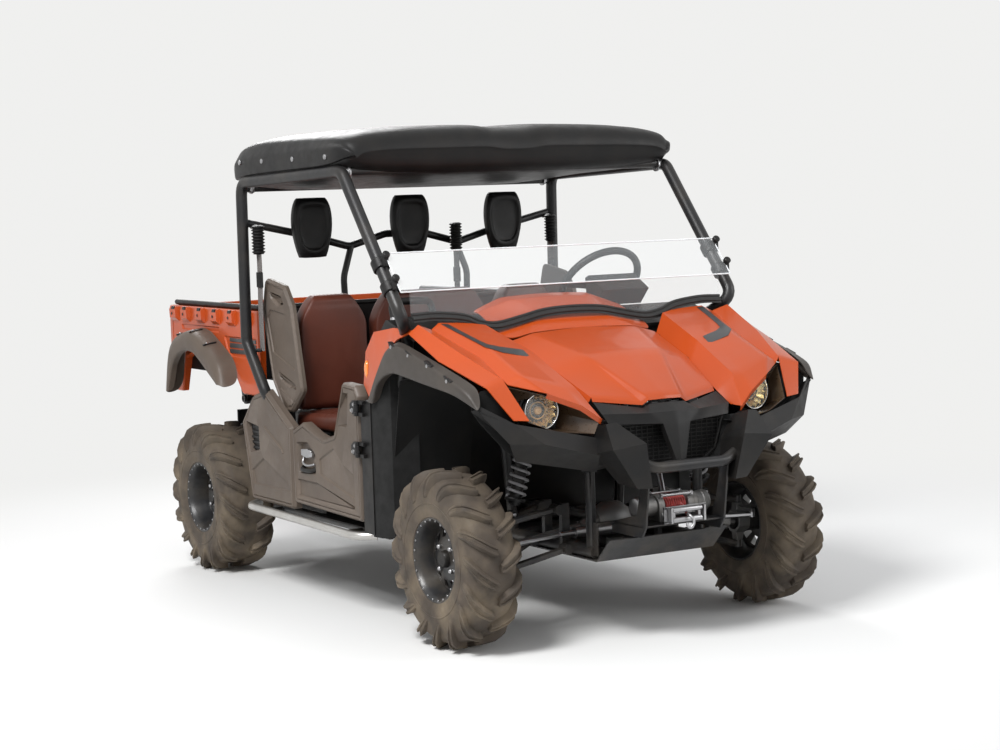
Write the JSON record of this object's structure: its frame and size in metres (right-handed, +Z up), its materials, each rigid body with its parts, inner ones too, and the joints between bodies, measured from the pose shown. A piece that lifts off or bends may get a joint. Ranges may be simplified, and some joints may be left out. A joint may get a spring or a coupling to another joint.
{
  "type": "side by side utility vehicle",
  "caption": "Side by side utility vehicle with a roof cage, bench seating, half doors, half screen, steered front wheels, opening hood and a tilting cargo bed with a tailgate.",
  "frame": {"origin": "on the ground, midway between the two axles and on the centre plane, under the middle of the whole part", "axes": "+X to the vehicle's left, -Y to its front, +Z up"},
  "size_m": [1.5794, 3.26, 1.922],
  "materials": {
    "tyre_rubber": "dull black rubber",
    "rim_paint": "black satin steel",
    "frame_paint": "satin charcoal coat",
    "steel": "bare and plated steel",
    "cast_metal": "cast metal cases",
    "orange_plastic": "glossy orange moulded body panels",
    "grey_plastic": "warm grey moulded plastic",
    "slate_plastic": "mid grey grained plastic",
    "black_plastic": "black grained plastic",
    "seal_rubber": "black rubber",
    "vinyl": "saddle brown vinyl",
    "webbing": "dark woven webbing and boots",
    "clear_screen": "clear polycarbonate",
    "chrome": "bright reflector",
    "lens": "clear lens",
    "tail_red": "red lens",
    "step_silver": "silver grey tube"
  },
  "bodies": {
    "chassis": {"bumper_bar": "frame_paint", "bumper_cover": "slate_plastic", "cage_cross": "frame_paint", "cage_sides": "frame_paint", "cowl_seal": "seal_rubber", "dash_cowl": "orange_plastic", "dashboard": "black_plastic", "door_posts": "frame_paint", "drivetrain": "steel", "engine_block": "cast_metal", "floor_pan": "black_plastic", "frame": "frame_paint", "front_fascia": "slate_plastic", "front_fenders": "orange_plastic", "front_flares": "slate_plastic", "grab_bar": "black_plastic", "grille": "black_plastic", "headlight_lenses": "lens", "headlights": "chrome", "headrests": "black_plastic", "instrument_pod": "black_plastic", "lamp_buckets": "black_plastic", "muffler": "steel", "rear_bumper": "frame_paint", "roof": "black_plastic", "seat_backs": "vinyl", "seat_base": "black_plastic", "seat_belts": "webbing", "seat_cushions": "vinyl", "shock_absorbers": "steel", "shoulder_guards": "grey_plastic", "side_panels": "grey_plastic", "skid_plate": "black_plastic", "steering_shaft": "steel", "step_bars": "step_silver", "suspension_arms": "frame_paint", "taillights": "tail_red", "wheel_liners": "black_plastic", "winch": "cast_metal", "windshield": "clear_screen", "windshield_clamps": "frame_paint"},
    "knuckle_left": {"knuckle_left": "steel"},
    "knuckle_right": {"knuckle_right": "steel"},
    "rack": {"rack_bar": "steel"},
    "steering_wheel": {"steering_wheel": "black_plastic"},
    "wheel_fl": {"tyre_fl": "tyre_rubber", "rim_fl": "rim_paint"},
    "wheel_fr": {"tyre_fr": "tyre_rubber", "rim_fr": "rim_paint"},
    "wheel_rl": {"tyre_rl": "tyre_rubber", "rim_rl": "rim_paint"},
    "wheel_rr": {"tyre_rr": "tyre_rubber", "rim_rr": "rim_paint"},
    "door_left": {"door_left": "grey_plastic"},
    "door_right": {"door_right": "grey_plastic"},
    "bed": {"bed_tub": "frame_paint", "bed_sides": "orange_plastic", "bed_flares": "grey_plastic"},
    "tailgate": {"tailgate": "orange_plastic"},
    "hood": {"hood": "orange_plastic"}
  },
  "joints": [
    {"name": "steer_left", "type": "hinge", "parent": "chassis", "child": "knuckle_left", "pos_m": [0.596, -1.07, 0.328], "axis": [0, 0, 1], "range_deg": [-28, 28]},
    {"name": "steer_right", "type": "hinge", "parent": "chassis", "child": "knuckle_right", "pos_m": [-0.596, -1.07, 0.328], "axis": [0, 0, 1], "range_deg": [-28, 28]},
    {"name": "rack_slide", "type": "slide", "parent": "chassis", "child": "rack", "axis": [1, 0, 0], "range_m": [-0.0469, 0.0469]},
    {"name": "steering_wheel_turn", "type": "hinge", "parent": "chassis", "child": "steering_wheel", "pos_m": [0.352, -0.505, 1.262], "axis": [0, 0.766, 0.6428], "range_deg": [-280, 280]},
    {"name": "spin_fl", "type": "hinge", "parent": "knuckle_left", "child": "wheel_fl", "pos_m": [0.68, -1.07, 0.328], "axis": [1, 0, 0], "continuous": true},
    {"name": "spin_fr", "type": "hinge", "parent": "knuckle_right", "child": "wheel_fr", "pos_m": [-0.68, -1.07, 0.328], "axis": [1, 0, 0], "continuous": true},
    {"name": "spin_rl", "type": "hinge", "parent": "chassis", "child": "wheel_rl", "pos_m": [0.659, 1.07, 0.328], "axis": [1, 0, 0], "continuous": true},
    {"name": "spin_rr", "type": "hinge", "parent": "chassis", "child": "wheel_rr", "pos_m": [-0.659, 1.07, 0.328], "axis": [1, 0, 0], "continuous": true},
    {"name": "door_left_hinge", "type": "hinge", "parent": "chassis", "child": "door_left", "pos_m": [0.757, -0.474, 0.756], "axis": [0, 0, -1], "range_deg": [0, 65]},
    {"name": "door_right_hinge", "type": "hinge", "parent": "chassis", "child": "door_right", "pos_m": [-0.757, -0.474, 0.756], "axis": [0, 0, 1], "range_deg": [0, 65]},
    {"name": "bed_tilt", "type": "hinge", "parent": "chassis", "child": "bed", "pos_m": [0, 1.4, 0.72], "axis": [-1, 0, 0], "range_deg": [0, 45]},
    {"name": "tailgate_hinge", "type": "hinge", "parent": "bed", "child": "tailgate", "pos_m": [0, 1.575, 0.874], "axis": [-1, 0, 0], "range_deg": [0, 90]},
    {"name": "hood_hinge", "type": "hinge", "parent": "chassis", "child": "hood", "pos_m": [0, -1.436, 0.868], "axis": [1, 0, 0], "range_deg": [0, 45]}
  ],
  "couplings": [
    {"joint": "steer_right", "follows": "steer_left", "ratio": 1},
    {"joint": "rack_slide", "follows": "steer_left", "m_per_rad": 0.095},
    {"joint": "steering_wheel_turn", "follows": "steer_left", "ratio": 10}
  ]
}
